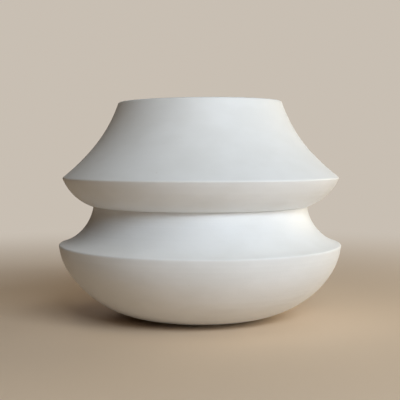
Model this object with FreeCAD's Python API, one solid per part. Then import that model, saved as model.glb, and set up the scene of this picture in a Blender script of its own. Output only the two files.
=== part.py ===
import FreeCAD, Part
import math
import os

# A round two-tier vase, thrown in four sections that are mitred, luted and backed by coils.
# Lengths are in millimetres. The vase stands on z = 0 with its axis on z.

# Outline, measured at its corners before they are rounded: radii, and how far each ridge
# stands out over the waist; below its throat the neck runs out in a flatter skirt,
# and the belly is where the bowl's steep wall turns into its round base
mouth_radius = 57.8
skirt_inset = 17.5
upper_ridge_overhang = 22.0
waist_radius = 76.0
lower_ridge_overhang = 24.3
belly_inset = 7.0
base_radius = 43.5

# Heights of the walls, from the foot up
foot_height = 1.0
bowl_base_height = 31.5
bowl_wall_height = 20.0
shoulder_height = 26.5
upper_bowl_height = 20.2
skirt_height = 16.0
throat_height = 37.5

# How far each wall swells from the straight line between its corners; a negative one is hollow
throat_swell = -2.4
upper_bowl_swell = 3.4
shoulder_swell = -5.5
bowl_wall_swell = 1.3

# Clay walls; the flat floor stands this far above the lowest point of the wall's inner curve
wall_thickness = 5.5
floor_rise = 2.5

# Rounded edges; the waist is a crease, so its rounding lies outside the clay
lip_outer_round = 1.5
lip_inner_round = 2.5
ridge_round = 1.2
waist_round = -0.8

# Seams: the width of the mitred face, and the rounding of the coil that fills the groove behind it
ridge_seam_width = 3.4
waist_seam_width = 2.5
ridge_coil_round = 9.0
waist_coil_round = -5.0

# Foot ring
foot_inset = 4.0
foot_width = 7.0
foot_bevel = 0.8
foot_seat_depth = 1.0
foot_clearance = 0.3

full_turn = 360
mm3_per_cm3 = 1000
vase_axis = FreeCAD.Vector(0, 0, 1)
vase_centre = FreeCAD.Vector(0, 0, 0)
outline_normal = FreeCAD.Vector(0, 1, 0)


def place(radius, height):
    return FreeCAD.Vector(radius, 0, height)


def line(start, end):
    return Part.LineSegment(start, end).toShape()


def arc_about(centre, start, end):
    # The shorter arc from start to end
    towards = (start + end) / 2 - centre
    towards.normalize()
    middle = centre + towards * (start - centre).Length
    return Part.Arc(start, middle, end).toShape()


class Wall:
    # One wall of the outline: an arc that runs down to its foot.
    # Its side is 1 where it swells outwards and -1 where it is hollow.
    # Depth is measured from its outer face into the clay.

    def __init__(self, foot, centre, side):
        self.foot = foot
        self.centre = centre
        self.side = side
        self.radius = (foot - centre).Length

    def radius_at(self, depth):
        return self.radius - self.side * depth

    def beside(self, other, depth):
        # The point at that depth whose normal runs through the other point
        outward = other - self.centre
        outward.normalize()
        return self.centre + outward * self.radius_at(depth)

    def at_height(self, height, depth):
        rise = height - self.centre.z
        reach = math.sqrt(self.radius_at(depth) ** 2 - rise ** 2)
        return place(self.centre.x + self.side * reach, height)

    def circle(self, depth):
        return Part.Circle(self.centre, outline_normal, self.radius_at(depth))


def swollen_wall(top, foot, swell):
    run = foot - top
    outward = FreeCAD.Vector(-run.z, 0, run.x)
    outward.normalize()
    side = math.copysign(1, swell)
    half_run = run.Length / 2
    radius = (half_run ** 2 + swell ** 2) / (2 * abs(swell))
    centre = (top + foot) / 2 + outward * (swell - side * radius)
    return Wall(foot, centre, side)


def following_wall(wall, foot):
    # A wall that leaves the foot of another one without a corner; where it has to bend
    # the other way, its radius comes out negative and it swells to the other side
    inward = wall.centre - wall.foot
    inward.normalize()
    run = foot - wall.foot
    radius = run.dot(run) / (2 * run.dot(inward))
    return Wall(foot, wall.foot + inward * radius, math.copysign(wall.side, wall.side * radius))


def crossing(upper, lower, depth):
    # Where two walls meet at that depth, near the corner that they share
    points = upper.circle(depth).intersect(lower.circle(depth))
    corners = [FreeCAD.Vector(point.X, point.Y, point.Z) for point in points]
    return min(corners, key=lambda corner: corner.distanceToPoint(upper.foot))


class Seam:
    # The joint of two walls: a rounded outer edge, a mitred face, and a V groove that a coil fills.
    # The coil's own face is rounded, so the inside of the vase has no corner there.

    def __init__(self, upper, lower, edge_round, seam_width, coil_round):
        self.edge_centre = crossing(upper, lower, edge_round)
        self.upper_edge = upper.beside(self.edge_centre, 0)
        self.lower_edge = lower.beside(self.edge_centre, 0)
        inward = crossing(upper, lower, wall_thickness) - self.edge_centre
        inward.normalize()
        self.surface = self.edge_centre - inward * edge_round
        self.groove = self.surface + inward * seam_width
        self.coil_centre = crossing(upper, lower, wall_thickness + coil_round)
        self.upper_inside = upper.beside(self.coil_centre, wall_thickness)
        self.lower_inside = lower.beside(self.coil_centre, wall_thickness)

    def end_of_upper_section(self):
        return [
            arc_about(self.edge_centre, self.upper_edge, self.surface),
            line(self.surface, self.groove),
            line(self.groove, self.upper_inside),
        ]

    def end_of_lower_section(self):
        return [
            arc_about(self.edge_centre, self.lower_edge, self.surface),
            line(self.surface, self.groove),
            line(self.groove, self.lower_inside),
        ]

    def coil_outline(self):
        return [
            line(self.groove, self.upper_inside),
            arc_about(self.coil_centre, self.upper_inside, self.lower_inside),
            line(self.lower_inside, self.groove),
        ]


lower_ridge_radius = waist_radius + lower_ridge_overhang
upper_ridge_radius = waist_radius + upper_ridge_overhang
belly_height = foot_height + bowl_base_height
lower_ridge_height = belly_height + bowl_wall_height
waist_height = lower_ridge_height + shoulder_height
upper_ridge_height = waist_height + upper_bowl_height
skirt_top_height = upper_ridge_height + skirt_height
mouth_height = skirt_top_height + throat_height

mouth = place(mouth_radius, mouth_height)
skirt_top = place(upper_ridge_radius - skirt_inset, skirt_top_height)
upper_ridge = place(upper_ridge_radius, upper_ridge_height)
waist = place(waist_radius, waist_height)
lower_ridge = place(lower_ridge_radius, lower_ridge_height)
belly = place(lower_ridge_radius - belly_inset, belly_height)
base_edge = place(base_radius, foot_height)

throat_wall = swollen_wall(mouth, skirt_top, throat_swell)
skirt_wall = following_wall(throat_wall, upper_ridge)
upper_bowl_wall = swollen_wall(upper_ridge, waist, upper_bowl_swell)
shoulder_wall = swollen_wall(waist, lower_ridge, shoulder_swell)
bowl_wall = swollen_wall(lower_ridge, belly, bowl_wall_swell)
base_wall = following_wall(bowl_wall, base_edge)

upper_ridge_seam = Seam(skirt_wall, upper_bowl_wall, ridge_round, ridge_seam_width, ridge_coil_round)
waist_seam = Seam(upper_bowl_wall, shoulder_wall, waist_round, waist_seam_width, waist_coil_round)
lower_ridge_seam = Seam(shoulder_wall, bowl_wall, ridge_round, ridge_seam_width, ridge_coil_round)

foot_outer_radius = base_radius - foot_inset
foot_inner_radius = foot_outer_radius - foot_width
seat_height = foot_height + foot_seat_depth
floor_height = base_wall.centre.z - base_wall.radius_at(wall_thickness) + floor_rise


def turned(edges):
    outline = Part.Wire(Part.__sortEdges__(edges))
    return Part.Face(outline).revolve(vase_centre, vase_axis, full_turn)


def lip():
    outer_centre = throat_wall.at_height(mouth_height - lip_outer_round, lip_outer_round)
    inner_centre = throat_wall.at_height(mouth_height - lip_inner_round, wall_thickness - lip_inner_round)
    outer_top = place(outer_centre.x, mouth_height)
    inner_top = place(inner_centre.x, mouth_height)
    outer_foot = throat_wall.beside(outer_centre, 0)
    inner_foot = throat_wall.beside(inner_centre, wall_thickness)
    edges = [
        arc_about(outer_centre, outer_foot, outer_top),
        line(outer_top, inner_top),
        arc_about(inner_centre, inner_top, inner_foot),
    ]
    return edges, outer_foot, inner_foot


def neck():
    edges, outer_foot, inner_foot = lip()
    skirt_top_inside = throat_wall.beside(skirt_top, wall_thickness)
    edges.append(arc_about(throat_wall.centre, outer_foot, skirt_top))
    edges.append(arc_about(skirt_wall.centre, skirt_top, upper_ridge_seam.upper_edge))
    edges += upper_ridge_seam.end_of_upper_section()
    edges.append(arc_about(skirt_wall.centre, upper_ridge_seam.upper_inside, skirt_top_inside))
    edges.append(arc_about(throat_wall.centre, skirt_top_inside, inner_foot))
    return turned(edges)


def section_between(wall, seam_above, seam_below):
    edges = seam_above.end_of_lower_section() + seam_below.end_of_upper_section()
    edges.append(arc_about(wall.centre, seam_above.lower_edge, seam_below.upper_edge))
    edges.append(arc_about(wall.centre, seam_above.lower_inside, seam_below.upper_inside))
    return turned(edges)


def base_bowl():
    seat_outer_radius = foot_outer_radius + foot_clearance
    seat_inner_radius = foot_inner_radius - foot_clearance
    underside = [
        base_edge,
        place(seat_outer_radius, foot_height),
        place(seat_outer_radius, seat_height),
        place(seat_inner_radius, seat_height),
        place(seat_inner_radius, foot_height),
        place(0, foot_height),
        place(0, floor_height),
    ]
    edges = [line(start, end) for start, end in zip(underside, underside[1:])]
    edges += lower_ridge_seam.end_of_lower_section()
    edges.append(arc_about(bowl_wall.centre, lower_ridge_seam.lower_edge, belly))
    edges.append(arc_about(base_wall.centre, belly, base_edge))
    belly_inside = bowl_wall.beside(belly, wall_thickness)
    floor_edge = base_wall.at_height(floor_height, wall_thickness)
    edges.append(arc_about(bowl_wall.centre, lower_ridge_seam.lower_inside, belly_inside))
    edges.append(arc_about(base_wall.centre, belly_inside, floor_edge))
    edges.append(line(floor_edge, place(0, floor_height)))
    return turned(edges)


def foot_ring():
    outline = [
        place(foot_outer_radius, seat_height),
        place(foot_outer_radius, foot_bevel),
        place(foot_outer_radius - foot_bevel, 0),
        place(foot_inner_radius + foot_bevel, 0),
        place(foot_inner_radius, foot_bevel),
        place(foot_inner_radius, seat_height),
    ]
    return turned([line(start, end) for start, end in zip(outline, outline[1:] + outline[:1])])


pieces = {
    "neck": neck(),
    "upper_bowl": section_between(upper_bowl_wall, upper_ridge_seam, waist_seam),
    "lower_shoulder": section_between(shoulder_wall, waist_seam, lower_ridge_seam),
    "base_bowl": base_bowl(),
    "foot_ring": foot_ring(),
    "upper_ridge_coil": turned(upper_ridge_seam.coil_outline()),
    "waist_coil": turned(waist_seam.coil_outline()),
    "lower_ridge_coil": turned(lower_ridge_seam.coil_outline()),
}

os.makedirs("parts", exist_ok=True)
for name, shape in pieces.items():
    shape.exportStep(f"parts/{name}.step")
    print(name, shape.isValid(), round(shape.Volume / mm3_per_cm3, 1), "cm3")
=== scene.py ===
import math

import bpy
from mathutils import Matrix, Vector, noise


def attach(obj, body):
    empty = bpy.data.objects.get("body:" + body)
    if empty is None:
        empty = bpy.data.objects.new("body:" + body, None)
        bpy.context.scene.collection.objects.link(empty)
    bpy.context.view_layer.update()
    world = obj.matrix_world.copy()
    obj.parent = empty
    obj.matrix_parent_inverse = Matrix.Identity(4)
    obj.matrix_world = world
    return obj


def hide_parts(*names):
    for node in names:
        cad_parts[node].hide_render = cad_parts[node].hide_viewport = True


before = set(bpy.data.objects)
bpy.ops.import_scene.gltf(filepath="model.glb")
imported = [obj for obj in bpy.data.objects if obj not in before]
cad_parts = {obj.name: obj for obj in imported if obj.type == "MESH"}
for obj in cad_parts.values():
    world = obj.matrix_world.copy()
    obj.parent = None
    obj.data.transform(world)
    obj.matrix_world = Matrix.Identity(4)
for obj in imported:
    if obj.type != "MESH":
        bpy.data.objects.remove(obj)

mm = 0.001
onAxis = (0, 0, 0)
upwards = (0, 0, 1)
acrossOutline = (0, 1, 0)
fullTurn = 2 * math.pi
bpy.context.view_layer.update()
print("frame loaded:", len(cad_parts), "solids")

# outline of the vase: radius and height in mm of each corner before it is rounded,
# and how far the wall below it swells from a straight line (hollow where negative);
# the clay's thickness, and the flat floor's height over the lowest point of the wall's inner curve
outline = {
    "mouth": (57.8, 152.7),
    "throatSwell": -2.4,
    "skirtTop": (80.5, 115.2),
    "upperRidge": (98.0, 99.2),
    "upperBowlSwell": 3.4,
    "waist": (76.0, 79.0),
    "shoulderSwell": -5.5,
    "lowerRidge": (100.3, 52.5),
    "bowlSwell": 1.3,
    "belly": (93.3, 32.5),
    "baseEdge": (43.5, 1.0),
    "clay": 5.5,
    "floorRise": 2.5,
}

# seams between the sections: rounding of the edge, width of the joined faces, rounding of the coil
seamSizes = {
    "ridge": (1.2, 3.4, 9.0),
    "waist": (-0.8, 2.5, -5.0),
}

# the waist's seam was drawn over with a needle, which left a fine dark line
needleLine = {
    "halfWidth": 0.28,
    "depth": 0.9,
}

wheel = {
    "turnSteps": 256,
    "longestStep": 2.0,
    "widestBend": 11,
    "mergeWithin": 0.001,
    "smoothAngle": 30,
    "fewestArcSteps": 2,
}


def at(radius, height):
    return Vector((radius, 0, height)) * mm


def corner(name):
    return at(*outline[name])


def arcWall(top, foot, swell):
    run = foot - top
    outward = Vector((-run.z, 0, run.x)).normalized()
    side = math.copysign(1, swell)
    rise = swell * mm
    radius = ((run.length / 2) ** 2 + rise ** 2) / (2 * abs(rise))
    centre = (top + foot) / 2 + outward * (rise - side * radius)
    return {"centre": centre, "radius": radius, "side": side}


def wallOnwards(wall, joint, foot):
    # leaves the other wall at the joint with no corner
    inward = (wall["centre"] - joint).normalized()
    run = foot - joint
    radius = run.length_squared / (2 * run.dot(inward))
    return {"centre": joint + inward * radius, "radius": radius, "side": wall["side"]}


def radiusAt(wall, depth):
    return wall["radius"] - wall["side"] * depth


def besidePoint(wall, point, depth):
    # the place at that depth in the wall that faces the point
    outward = (point - wall["centre"]).normalized()
    return wall["centre"] + outward * radiusAt(wall, depth)


def atHeight(wall, height, depth):
    reach = math.sqrt(radiusAt(wall, depth) ** 2 - (height - wall["centre"].z) ** 2)
    return Vector((wall["centre"].x + wall["side"] * reach, 0, height))


def wallsCross(upper, lower, depth, near):
    apart = lower["centre"] - upper["centre"]
    upperRadius = radiusAt(upper, depth)
    lowerRadius = radiusAt(lower, depth)
    along = (upperRadius ** 2 - lowerRadius ** 2 + apart.length_squared) / (2 * apart.length)
    across = math.sqrt(upperRadius ** 2 - along ** 2)
    forward = apart.normalized()
    sideways = Vector((-forward.z, 0, forward.x)) * across
    middle = upper["centre"] + forward * along
    return min((middle + sideways, middle - sideways), key=lambda point: (point - near).length)


def makeSeam(upper, lower, near, sizes):
    edgeRound, seamWidth, coilRound = [size * mm for size in sizes]
    edgeCentre = wallsCross(upper, lower, edgeRound, near)
    inward = (wallsCross(upper, lower, clay, near) - edgeCentre).normalized()
    skin = edgeCentre - inward * edgeRound
    coilCentre = wallsCross(upper, lower, clay + coilRound, near)
    return {
        "edgeCentre": edgeCentre,
        "upperEdge": besidePoint(upper, edgeCentre, 0),
        "lowerEdge": besidePoint(lower, edgeCentre, 0),
        "skin": skin,
        "groove": skin + inward * seamWidth,
        "coilCentre": coilCentre,
        "upperInside": besidePoint(upper, coilCentre, clay),
        "lowerInside": besidePoint(lower, coilCentre, clay),
        "upperLip": [skin],
        "lowerLip": [skin],
    }


def cutNeedleLine(seam):
    # opens the seam's skin a little: each section's edge turns in to the foot of the line
    centre = seam["edgeCentre"]
    reach = seam["skin"] - centre
    inward = (seam["groove"] - seam["skin"]).normalized()
    foot = seam["skin"] + inward * needleLine["depth"] * mm
    turn = needleLine["halfWidth"] * mm / reach.length
    lips = [centre + Matrix.Rotation(way * turn, 3, "Y") @ reach for way in (1, -1)]
    lips.sort(key=lambda lip: (lip - seam["upperEdge"]).length)
    seam["upperLip"] = [foot, lips[0]]
    seam["lowerLip"] = [foot, lips[1]]


clay = outline["clay"] * mm
mouth = corner("mouth")
skirtTop = corner("skirtTop")
upperRidge = corner("upperRidge")
waist = corner("waist")
lowerRidge = corner("lowerRidge")
belly = corner("belly")
baseEdge = corner("baseEdge")

throatWall = arcWall(mouth, skirtTop, outline["throatSwell"])
skirtWall = wallOnwards(throatWall, skirtTop, upperRidge)
upperBowlWall = arcWall(upperRidge, waist, outline["upperBowlSwell"])
shoulderWall = arcWall(waist, lowerRidge, outline["shoulderSwell"])
bowlWall = arcWall(lowerRidge, belly, outline["bowlSwell"])
baseWall = wallOnwards(bowlWall, belly, baseEdge)
floorHeight = baseWall["centre"].z - radiusAt(baseWall, clay) + outline["floorRise"] * mm

upperSeam = makeSeam(skirtWall, upperBowlWall, upperRidge, seamSizes["ridge"])
waistSeam = makeSeam(upperBowlWall, shoulderWall, waist, seamSizes["waist"])
lowerSeam = makeSeam(shoulderWall, bowlWall, lowerRidge, seamSizes["ridge"])
cutNeedleLine(waistSeam)


def drawRun(here, end):
    run = end - here
    steps = max(1, round(run.length / (wheel["longestStep"] * mm)))
    for _ in range(steps):
        bpy.ops.mesh.extrude_vertices_move(TRANSFORM_OT_translate={"value": run / steps})


def drawArc(here, end, centre):
    start = here - centre
    finish = end - centre
    angle = math.atan2(start.x * finish.z - start.z * finish.x, start.dot(finish))
    stepsByLength = start.length * abs(angle) / (wheel["longestStep"] * mm)
    stepsByBend = abs(angle) / math.radians(wheel["widestBend"])
    steps = max(wheel["fewestArcSteps"], round(max(stepsByLength, stepsByBend)))
    bpy.ops.mesh.spin(steps=steps, angle=angle, center=centre, axis=acrossOutline,
                      use_auto_merge=False)


def startAt(name, start):
    # a small plane melted into the first point of the outline
    bpy.ops.object.select_all(action="DESELECT")
    bpy.ops.mesh.primitive_plane_add(size=mm, location=start)
    bpy.ops.object.transform_apply(location=True, rotation=False, scale=False)
    piece = bpy.context.active_object
    piece.name = name
    piece.data.name = name
    bpy.ops.object.mode_set(mode="EDIT")
    bpy.ops.mesh.select_all(action="SELECT")
    bpy.ops.mesh.merge(type="CENTER")
    return piece


def turnOnWheel(name, start, moves):
    # draws the outline move by move, then spins it once round the vase's axis
    piece = startAt(name, start)
    here = start
    for end, centre in moves:
        if centre is None:
            drawRun(here, end)
        else:
            drawArc(here, end, centre)
        here = end
    bpy.ops.mesh.select_all(action="SELECT")
    bpy.ops.mesh.remove_doubles(threshold=wheel["mergeWithin"] * mm)
    bpy.ops.mesh.spin(steps=wheel["turnSteps"], angle=fullTurn, center=onAxis, axis=upwards,
                      use_auto_merge=True)
    bpy.ops.mesh.select_all(action="SELECT")
    bpy.ops.mesh.remove_doubles(threshold=wheel["mergeWithin"] * mm)
    bpy.ops.mesh.normals_make_consistent(inside=False)
    bpy.ops.object.mode_set(mode="OBJECT")
    bpy.ops.object.shade_smooth_by_angle(angle=math.radians(wheel["smoothAngle"]))
    print("turned", name, len(piece.data.vertices), "points")
    return piece


def aboveSeam(wall, seam):
    # down a section's inner face, across its joined face and round its outer edge
    return [
        (seam["upperInside"], wall["centre"]),
        (seam["groove"], None),
        *[(point, None) for point in seam["upperLip"]],
        (seam["upperEdge"], seam["edgeCentre"]),
    ]


def belowSeam(wall, seam):
    # up a section's outer face, round its edge and across its joined face to the inside
    return [
        (seam["lowerEdge"], wall["centre"]),
        (seam["lowerLip"][-1], seam["edgeCentre"]),
        *[(point, None) for point in reversed(seam["lowerLip"][:-1])],
        (seam["groove"], None),
        (seam["lowerInside"], None),
    ]


lip = {
    "outerRound": 1.5,
    "innerRound": 2.5,
}


def makeNeck():
    outerRound = lip["outerRound"] * mm
    innerRound = lip["innerRound"] * mm
    outerCentre = atHeight(throatWall, mouth.z - outerRound, outerRound)
    innerCentre = atHeight(throatWall, mouth.z - innerRound, clay - innerRound)
    outerTop = Vector((outerCentre.x, 0, mouth.z))
    innerTop = Vector((innerCentre.x, 0, mouth.z))
    moves = [
        (innerTop, None),
        (besidePoint(throatWall, innerCentre, clay), innerCentre),
        (besidePoint(throatWall, skirtTop, clay), throatWall["centre"]),
    ]
    moves += aboveSeam(skirtWall, upperSeam)
    moves += [
        (skirtTop, skirtWall["centre"]),
        (besidePoint(throatWall, outerCentre, 0), throatWall["centre"]),
        (outerTop, outerCentre),
    ]
    return turnOnWheel("neckClay", outerTop, moves)


def makeSection(name, wall, seamAbove, seamBelow):
    moves = aboveSeam(wall, seamBelow) + belowSeam(wall, seamAbove)
    return turnOnWheel(name, seamAbove["lowerInside"], moves)


foot = {
    "inset": 4.0,
    "width": 7.0,
    "bevel": 0.8,
    "seatDepth": 1.0,
    "clearance": 0.3,
}
footOuter = outline["baseEdge"][0] - foot["inset"]
footInner = footOuter - foot["width"]
seatTop = outline["baseEdge"][1] + foot["seatDepth"]


def makeBaseBowl():
    seatInner = footInner - foot["clearance"]
    seatOuter = footOuter + foot["clearance"]
    footTop = outline["baseEdge"][1]
    moves = [
        (at(seatInner, footTop), None),
        (at(seatInner, seatTop), None),
        (at(seatOuter, seatTop), None),
        (at(seatOuter, footTop), None),
        (baseEdge, None),
        (belly, baseWall["centre"]),
    ]
    moves += belowSeam(bowlWall, lowerSeam)
    moves += [
        (besidePoint(bowlWall, belly, clay), bowlWall["centre"]),
        (atHeight(baseWall, floorHeight, clay), baseWall["centre"]),
        (Vector((0, 0, floorHeight)), None),
    ]
    return turnOnWheel("baseBowlClay", at(0, footTop), moves)


def makeFootRing():
    bevel = foot["bevel"]
    moves = [
        (at(footOuter, bevel), None),
        (at(footOuter - bevel, 0), None),
        (at(footInner + bevel, 0), None),
        (at(footInner, bevel), None),
        (at(footInner, seatTop), None),
        (at(footOuter, seatTop), None),
    ]
    return turnOnWheel("footRingClay", at(footOuter, seatTop), moves)


def makeCoil(name, seam):
    moves = [
        (seam["upperInside"], None),
        (seam["lowerInside"], seam["coilCentre"]),
        (seam["groove"], None),
    ]
    return turnOnWheel(name, seam["groove"], moves)


glazeCoat = {
    "thickness": 0.7,
    "sunkIntoClay": 0.1,
    "edgeBelowMouth": 6.0,
    "edgeSlope": (0.012, -0.02, 1),
}


def makeGlazeLining():
    # one sheet down the inside of every wall, thickened by a Solidify modifier
    thickness = glazeCoat["thickness"] * mm
    depth = clay + thickness / 2 - glazeCoat["sunkIntoClay"] * mm
    rise = depth - clay
    wallsAndSeams = [
        (skirtWall, upperSeam, upperBowlWall),
        (upperBowlWall, waistSeam, shoulderWall),
        (shoulderWall, lowerSeam, bowlWall),
    ]
    moves = [(besidePoint(throatWall, skirtTop, depth), throatWall["centre"])]
    for above, seam, below in wallsAndSeams:
        moves.append((besidePoint(above, seam["coilCentre"], depth), above["centre"]))
        moves.append((besidePoint(below, seam["coilCentre"], depth), seam["coilCentre"]))
    moves += [
        (besidePoint(bowlWall, belly, depth), bowlWall["centre"]),
        (atHeight(baseWall, floorHeight + rise, depth), baseWall["centre"]),
        (Vector((0, 0, floorHeight + rise)), None),
    ]
    start = atHeight(throatWall, mouth.z - lip["innerRound"] * mm, depth)
    lining = turnOnWheel("glazeLining", start, moves)
    # the coat's top edge is wiped off at a slight slope below the lip
    edgeHeight = mouth.z - glazeCoat["edgeBelowMouth"] * mm
    bpy.ops.object.mode_set(mode="EDIT")
    bpy.ops.mesh.select_all(action="SELECT")
    bpy.ops.mesh.bisect(plane_co=(0, 0, edgeHeight), plane_no=glazeCoat["edgeSlope"],
                        clear_outer=True)
    bpy.ops.mesh.select_all(action="SELECT")
    bpy.ops.mesh.normals_make_consistent(inside=False)
    bpy.ops.object.mode_set(mode="OBJECT")
    bpy.ops.object.modifier_add(type="SOLIDIFY")
    coat = lining.modifiers[-1]
    coat.thickness = thickness
    coat.offset = 0
    bpy.ops.object.modifier_apply(modifier=coat.name)
    return lining


neckClay = makeNeck()
upperBowlClay = makeSection("upperBowlClay", upperBowlWall, upperSeam, waistSeam)
lowerShoulderClay = makeSection("lowerShoulderClay", shoulderWall, waistSeam, lowerSeam)
baseBowlClay = makeBaseBowl()
footRingClay = makeFootRing()
upperRidgeCoilClay = makeCoil("upperRidgeCoilClay", upperSeam)
waistCoilClay = makeCoil("waistCoilClay", waistSeam)
lowerRidgeCoilClay = makeCoil("lowerRidgeCoilClay", lowerSeam)
glazeLining = makeGlazeLining()
print("all pieces turned")

# which solid each turned piece stands for
solidOf = {
    neckClay: "neck",
    upperBowlClay: "upper_bowl",
    lowerShoulderClay: "lower_shoulder",
    baseBowlClay: "base_bowl",
    footRingClay: "foot_ring",
    upperRidgeCoilClay: "upper_ridge_coil",
    waistCoilClay: "waist_coil",
    lowerRidgeCoilClay: "lower_ridge_coil",
}

# how the wheel and the hand left it: each layer of the cage by its height in mm,
# with its tilt in degrees (right side up), its nod (front down) and its shift to the right in mm
handShape = {
    "layers": {
        -25: (0, 0, 0),
        0: (0, 0, 0),
        25: (-0.54, 0.2, -0.19),
        50: (-0.07, 0.45, 0.05),
        75: (0.03, 0.3, 0.13),
        100: (0.08, 0.05, 0.51),
        125: (0.01, 0.1, 0.17),
        150: (0.56, 0, -0.07),
        175: (0.56, 0, -0.07),
    },
    "spacing": 25,
    "pointsAcross": 11,
    "wobble": 0.3,
    "wobbleSize": 55,
    "wobbleSeed": 10,
    "steadyBelow": 30,
}


def makeCage():
    layers = handShape["layers"]
    heights = sorted(layers)
    width = handShape["spacing"] * (handShape["pointsAcross"] - 1) * mm
    height = (heights[-1] - heights[0]) * mm
    middle = (heights[-1] + heights[0]) / 2 * mm
    bpy.ops.object.select_all(action="DESELECT")
    bpy.ops.object.add(type="LATTICE", location=(0, 0, middle))
    cage = bpy.context.active_object
    cage.name = "handShapeCage"
    cage.scale = (width, width, height)
    cage.data.points_u = handShape["pointsAcross"]
    cage.data.points_v = handShape["pointsAcross"]
    cage.data.points_w = len(heights)
    cage.data.interpolation_type_w = "KEY_CATMULL_ROM"
    bpy.context.view_layer.update()
    noise.seed_set(handShape["wobbleSeed"])
    for point in cage.data.points:
        place = cage.matrix_world @ point.co
        tilt, nod, shift = layers[round(place.z / mm)]
        lean = place.x * math.tan(math.radians(tilt)) + place.y * math.tan(math.radians(nod))
        steady = min(1, max(0, place.z / mm / handShape["steadyBelow"]))
        sway = noise.noise_vector(place / mm / handShape["wobbleSize"])
        wobble = sway * handShape["wobble"] * mm * steady
        push = Vector((shift * mm, 0, lean)) + wobble
        point.co_deform = point.co + Vector((push.x / width, push.y / width, push.z / height))
    return cage


def shapeByHand(piece, cage):
    bpy.ops.object.select_all(action="DESELECT")
    piece.select_set(True)
    bpy.context.view_layer.objects.active = piece
    bpy.ops.object.modifier_add(type="LATTICE")
    bend = piece.modifiers[-1]
    bend.object = cage
    bpy.ops.object.modifier_apply(modifier=bend.name)


cage = makeCage()
for piece in [*solidOf, glazeLining]:
    shapeByHand(piece, cage)
bpy.ops.object.select_all(action="DESELECT")
cage.select_set(True)
bpy.ops.object.delete()
print("hand shape applied")


def socketOf(sockets, name):
    # some nodes keep hidden sockets of the same name
    if isinstance(name, int):
        return sockets[name]
    return next(socket for socket in sockets if socket.name == name and socket.enabled)


def addNode(tree, kind, settings=None, values=None):
    node = tree.nodes.new(kind)
    for name, setting in (settings or {}).items():
        setattr(node, name, setting)
    for name, value in (values or {}).items():
        socket = socketOf(node.inputs, name)
        if isinstance(value, bpy.types.NodeSocket):
            tree.links.new(value, socket)
        else:
            socket.default_value = value
    return node


def resultOf(node, name="Result"):
    return socketOf(node.outputs, name)


def calculate(tree, operation, first, second):
    node = addNode(tree, "ShaderNodeMath", {"operation": operation}, {0: first, 1: second})
    return node.outputs["Value"]


def smoothStep(tree, value, start, end):
    node = addNode(tree, "ShaderNodeMapRange", {"interpolation_type": "SMOOTHSTEP"}, {
        "Value": value, "From Min": start, "From Max": end})
    return resultOf(node)


def newGroup(name, inputs, outputs):
    group = bpy.data.node_groups.new(name, "ShaderNodeTree")
    for label, kind in inputs.items():
        group.interface.new_socket(label, in_out="INPUT", socket_type=kind)
    for label, kind in outputs.items():
        group.interface.new_socket(label, in_out="OUTPUT", socket_type=kind)
    return group, addNode(group, "NodeGroupInput").outputs


def closeGroup(group, results):
    addNode(group, "NodeGroupOutput", values=results)
    return group


driftShape = {
    "stretch": (1, 1, 1.8),
    "detail": 3,
    "roughness": 0.55,
    "edges": (0.35, 0.65),
}


def buildToneDrift():
    # broad soft patches, a little lighter and darker, drawn out round the vase
    group, given = newGroup(
        "toneDrift",
        {
            "Light Tone": "NodeSocketColor",
            "Dark Tone": "NodeSocketColor",
            "Patches": "NodeSocketFloat",
        },
        {"Color": "NodeSocketColor", "Mask": "NodeSocketFloat"},
    )
    where = addNode(group, "ShaderNodeTexCoord").outputs["Object"]
    drawnOut = addNode(group, "ShaderNodeMapping", values={
        "Vector": where, "Scale": driftShape["stretch"]})
    patches = addNode(group, "ShaderNodeTexNoise", values={
        "Vector": drawnOut.outputs["Vector"], "Scale": given["Patches"],
        "Detail": driftShape["detail"], "Roughness": driftShape["roughness"]})
    mask = smoothStep(group, patches.outputs["Fac"], *driftShape["edges"])
    tone = resultOf(addNode(group, "ShaderNodeMix", {"data_type": "RGBA"}, {
        "Factor": mask, "A": given["Light Tone"], "B": given["Dark Tone"]}))
    return closeGroup(group, {"Color": tone, "Mask": mask})


ringShape = {
    "acrossShare": 0.2,
    "driftScale": 14,
    "driftDetail": 1,
    "detail": 2,
    "roughness": 0.45,
}


def buildWheelLines():
    # rings left by the potter's fingers: noise along the wall, so no two are alike
    group, given = newGroup(
        "wheelLines",
        {"Spacing": "NodeSocketFloat", "Wander": "NodeSocketFloat"},
        {"Height": "NodeSocketFloat"},
    )
    where = addNode(group, "ShaderNodeTexCoord").outputs["Object"]
    level = addNode(group, "ShaderNodeSeparateXYZ", values={"Vector": where}).outputs["Z"]
    share = ringShape["acrossShare"]
    flat = addNode(group, "ShaderNodeVectorMath", {"operation": "MULTIPLY"}, {
        0: where, 1: (share, share, 0)})
    reach = addNode(group, "ShaderNodeVectorMath", {"operation": "LENGTH"}, {
        0: flat.outputs["Vector"]})
    drift = addNode(group, "ShaderNodeTexNoise", values={
        "Vector": where, "Scale": ringShape["driftScale"], "Detail": ringShape["driftDetail"]})
    wander = calculate(group, "MULTIPLY", drift.outputs["Fac"], given["Wander"])
    along = calculate(group, "ADD", level, resultOf(reach, "Value"))
    along = calculate(group, "ADD", along, wander)
    along = calculate(group, "DIVIDE", along, given["Spacing"])
    rings = addNode(group, "ShaderNodeTexNoise", {"noise_dimensions": "1D"}, {
        "W": along, "Scale": 1,
        "Detail": ringShape["detail"], "Roughness": ringShape["roughness"]})
    return closeGroup(group, {"Height": rings.outputs["Fac"]})


# a pinhole's edges are shares of its cell, and only cells drawn above the rarity have one
grainShape = {
    "detail": 4,
    "roughness": 0.6,
    "pinholeEdges": (0.12, 0.03),
    "pinholeRarity": 0.96,
}


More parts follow.
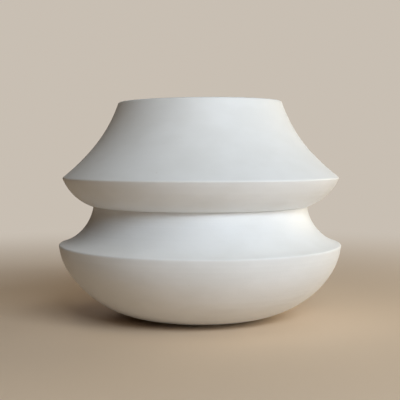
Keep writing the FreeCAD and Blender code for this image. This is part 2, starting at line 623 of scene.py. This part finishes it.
def buildClayGrain():
    # fine sandy tooth, and a few pinholes
    group, given = newGroup(
        "clayGrain",
        {"Grains": "NodeSocketFloat", "Pinholes": "NodeSocketFloat"},
        {"Height": "NodeSocketFloat", "Pits": "NodeSocketFloat"},
    )
    where = addNode(group, "ShaderNodeTexCoord").outputs["Object"]
    grains = addNode(group, "ShaderNodeTexNoise", values={
        "Vector": where, "Scale": given["Grains"],
        "Detail": grainShape["detail"], "Roughness": grainShape["roughness"]})
    cells = addNode(group, "ShaderNodeTexVoronoi", values={
        "Vector": where, "Scale": given["Pinholes"]})
    near = smoothStep(group, cells.outputs["Distance"], *grainShape["pinholeEdges"])
    chosen = addNode(group, "ShaderNodeSeparateColor", values={"Color": cells.outputs["Color"]})
    rare = calculate(group, "GREATER_THAN", chosen.outputs["Red"], grainShape["pinholeRarity"])
    pits = calculate(group, "MULTIPLY", near, rare)
    height = calculate(group, "SUBTRACT", grains.outputs["Fac"], pits)
    return closeGroup(group, {"Height": height, "Pits": pits})


toneDrift = buildToneDrift()
wheelLines = buildWheelLines()
clayGrain = buildClayGrain()


def placeGroup(tree, group, values):
    return addNode(tree, "ShaderNodeGroup", {"node_tree": group}, values)


def newFinish(name):
    finish = bpy.data.materials.new(name)
    finish.use_nodes = True
    return finish, finish.node_tree, finish.node_tree.nodes["Principled BSDF"]


def clayFinish(name, look):
    # one recipe for the white body, the glaze and the bare clay, each with its own numbers
    finish, tree, shader = newFinish(name)
    tones = placeGroup(tree, toneDrift, {
        "Light Tone": look["lightTone"],
        "Dark Tone": look["darkTone"],
        "Patches": look["patches"],
    })
    lines = placeGroup(tree, wheelLines, {
        "Spacing": look["lineSpacing"] * mm, "Wander": look["lineWander"] * mm})
    grain = placeGroup(tree, clayGrain, {"Grains": look["grains"], "Pinholes": look["pinholes"]})
    # the pinholes are coloured darker than the body round them: painted shade inside each pinhole
    toneWithShadedPits = addNode(tree, "ShaderNodeMix", {"data_type": "RGBA"}, {
        "Factor": grain.outputs["Pits"], "A": tones.outputs["Color"], "B": look["pitShadeTone"]})
    tree.links.new(resultOf(toneWithShadedPits), shader.inputs["Base Color"])
    smoothest, roughest = look["roughness"]
    gloss = addNode(tree, "ShaderNodeMapRange", values={
        "Value": tones.outputs["Mask"], "To Min": smoothest, "To Max": roughest})
    tree.links.new(resultOf(gloss), shader.inputs["Roughness"])
    ringed = addNode(tree, "ShaderNodeBump", values={
        "Height": lines.outputs["Height"], "Distance": look["lineDepth"] * mm, "Strength": 1})
    grained = addNode(tree, "ShaderNodeBump", values={
        "Height": grain.outputs["Height"], "Distance": look["grainDepth"] * mm, "Strength": 1,
        "Normal": ringed.outputs["Normal"]})
    tree.links.new(grained.outputs["Normal"], shader.inputs["Normal"])
    shader.inputs["Coat Weight"].default_value = look["coat"]
    shader.inputs["Coat Roughness"].default_value = look["coatRoughness"]
    return finish


mattWhite = clayFinish("mattWhite", {
    "lightTone": (0.86, 0.865, 0.86, 1),
    "darkTone": (0.82, 0.822, 0.81, 1),
    "pitShadeTone": (0.78, 0.77, 0.75, 1),
    "patches": 22,
    "roughness": (0.5, 0.6),
    "lineSpacing": 2.6,
    "lineWander": 1.5,
    "lineDepth": 0.07,
    "grains": 900,
    "grainDepth": 0.04,
    "pinholes": 150,
    "coat": 0,
    "coatRoughness": 0,
})

glossGlaze = clayFinish("glossGlaze", {
    "lightTone": (0.87, 0.87, 0.85, 1),
    "darkTone": (0.82, 0.82, 0.79, 1),
    "pitShadeTone": (0.66, 0.64, 0.58, 1),
    "patches": 30,
    "roughness": (0.14, 0.22),
    "lineSpacing": 4,
    "lineWander": 2.5,
    "lineDepth": 0.5,
    "grains": 160,
    "grainDepth": 0.06,
    "pinholes": 90,
    "coat": 0.4,
    "coatRoughness": 0.06,
})

bareClay = clayFinish("bareClay", {
    "lightTone": (0.79, 0.75, 0.68, 1),
    "darkTone": (0.70, 0.655, 0.58, 1),
    "pitShadeTone": (0.42, 0.34, 0.26, 1),
    "patches": 45,
    "roughness": (0.86, 0.95),
    "lineSpacing": 1.6,
    "lineWander": 1,
    "lineDepth": 0.1,
    "grains": 1400,
    "grainDepth": 0.12,
    "pinholes": 420,
    "coat": 0,
    "coatRoughness": 0,
})

finishOf = {
    neckClay: (mattWhite, "matt_white"),
    upperBowlClay: (mattWhite, "matt_white"),
    lowerShoulderClay: (mattWhite, "matt_white"),
    baseBowlClay: (mattWhite, "matt_white"),
    footRingClay: (bareClay, "bare_clay"),
    upperRidgeCoilClay: (glossGlaze, "inside_glaze"),
    waistCoilClay: (glossGlaze, "inside_glaze"),
    lowerRidgeCoilClay: (glossGlaze, "inside_glaze"),
    glazeLining: (glossGlaze, "inside_glaze"),
}

for piece, (finish, slot) in finishOf.items():
    piece.data.materials.clear()
    piece.data.materials.append(finish)
    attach(piece, "root")
for piece, solid in solidOf.items():
    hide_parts(solid)
print("finishes on", len(finishOf), "pieces")

paleFloor = {
    "radius": 6,
    "corners": 96,
    "tone": (0.76, 0.6, 0.44, 1),
    "roughness": 0.7,
    "farTone": (0.58, 0.52, 0.45, 1),
    "fadeFrom": 0.15,
    "fadeTo": 0.75,
}


def makeFloor():
    bpy.ops.object.select_all(action="DESELECT")
    bpy.ops.mesh.primitive_circle_add(vertices=paleFloor["corners"], radius=paleFloor["radius"],
                                      fill_type="NGON")
    ground = bpy.context.active_object
    ground.name = "floor"
    finish, tree, shader = newFinish("paleFloor")
    shader.inputs["Base Color"].default_value = paleFloor["tone"]
    shader.inputs["Roughness"].default_value = paleFloor["roughness"]
    # seen by the camera, the floor fades into the backdrop far from the vase
    where = addNode(tree, "ShaderNodeTexCoord").outputs["Object"]
    reach = addNode(tree, "ShaderNodeVectorMath", {"operation": "LENGTH"}, {0: where})
    far = smoothStep(tree, resultOf(reach, "Value"), paleFloor["fadeFrom"], paleFloor["fadeTo"])
    seen = addNode(tree, "ShaderNodeLightPath").outputs["Is Camera Ray"]
    share = calculate(tree, "MULTIPLY", far, seen)
    backdrop = addNode(tree, "ShaderNodeEmission", values={
        "Color": paleFloor["farTone"], "Strength": 1})
    mixed = addNode(tree, "ShaderNodeMixShader", values={
        0: share, 1: shader.outputs["BSDF"], 2: backdrop.outputs["Emission"]})
    tree.links.new(mixed.outputs["Shader"], tree.nodes["Material Output"].inputs["Surface"])
    ground.data.materials.append(finish)


def makeBackdrop(ambient):
    world = bpy.data.worlds.new("studio")
    bpy.context.scene.world = world
    world.use_nodes = True
    tree = world.node_tree
    surrounds = tree.nodes["Background"]
    surrounds.inputs["Color"].default_value = ambient["tone"]
    surrounds.inputs["Strength"].default_value = ambient["strength"]
    backdrop = addNode(tree, "ShaderNodeBackground", values={
        "Color": paleFloor["farTone"], "Strength": 1})
    paths = addNode(tree, "ShaderNodeLightPath")
    mixed = addNode(tree, "ShaderNodeMixShader", values={
        0: paths.outputs["Is Camera Ray"],
        1: surrounds.outputs["Background"],
        2: backdrop.outputs["Background"],
    })
    tree.links.new(mixed.outputs["Shader"], tree.nodes["World Output"].inputs["Surface"])


# each lamp stands at a turn from the camera's side (right positive) and a height angle,
# and is aimed at the middle of the vase
lampsAway = 1.4
lamps = {
    "side": {
        "turn": 60,
        "lift": 12,
        "size": (1.4, 0.65),
        "power": 6.8,
        "tone": (0.9, 0.95, 1),
    },
    "front": {
        "turn": 25,
        "lift": 32,
        "size": (1, 0.25),
        "power": 10.2,
        "tone": (0.78, 0.89, 1),
    },
    "behindRight": {
        "turn": 120,
        "lift": 10,
        "size": (0.8, 0.6),
        "power": 6,
        "tone": (1, 0.87, 0.61),
    },
    "behind": {
        "turn": 175,
        "lift": 15,
        "size": (1.2, 0.6),
        "power": 2.4,
        "tone": (1, 0.93, 0.84),
    },
    "above": {
        "turn": 0,
        "lift": 70,
        "size": (0.9, 0.9),
        "power": 2.8,
        "tone": (1, 0.89, 0.68),
    },
}
ambient = {"tone": (1, 0.6, 0.4, 1), "strength": 0.03}
aimHeight = mouth.z / 2


def placeLamp(name, lamp):
    turn = math.radians(lamp["turn"])
    lift = math.radians(lamp["lift"])
    across = math.cos(lift)
    direction = Vector((math.sin(turn) * across, -math.cos(turn) * across, math.sin(lift)))
    aim = Vector((0, 0, aimHeight))
    bpy.ops.object.light_add(type="AREA", location=direction * lampsAway + aim)
    light = bpy.context.active_object
    light.name = name
    light.rotation_euler = direction.to_track_quat("Z", "Y").to_euler()
    light.data.shape = "RECTANGLE"
    light.data.size, light.data.size_y = lamp["size"]
    light.data.energy = lamp["power"]
    light.data.color = lamp["tone"]


view = {
    "place": (0, -0.6234, 0.1147),
    "lookDown": 2.92,
    "lens": 78.3,
    "sensorWidth": 36,
    "nearest": 0.01,
}


def placeCamera():
    upright = math.radians(90 - view["lookDown"])
    bpy.ops.object.camera_add(location=view["place"], rotation=(upright, 0, 0))
    camera = bpy.context.active_object
    camera.name = "photoView"
    camera.data.sensor_width = view["sensorWidth"]
    camera.data.lens = view["lens"]
    camera.data.clip_start = view["nearest"]
    bpy.context.scene.camera = camera


makeFloor()
makeBackdrop(ambient)
for name, lamp in lamps.items():
    placeLamp(name, lamp)
placeCamera()
bpy.context.scene.view_settings.view_transform = "Standard"
print("floor, lamps and camera placed")
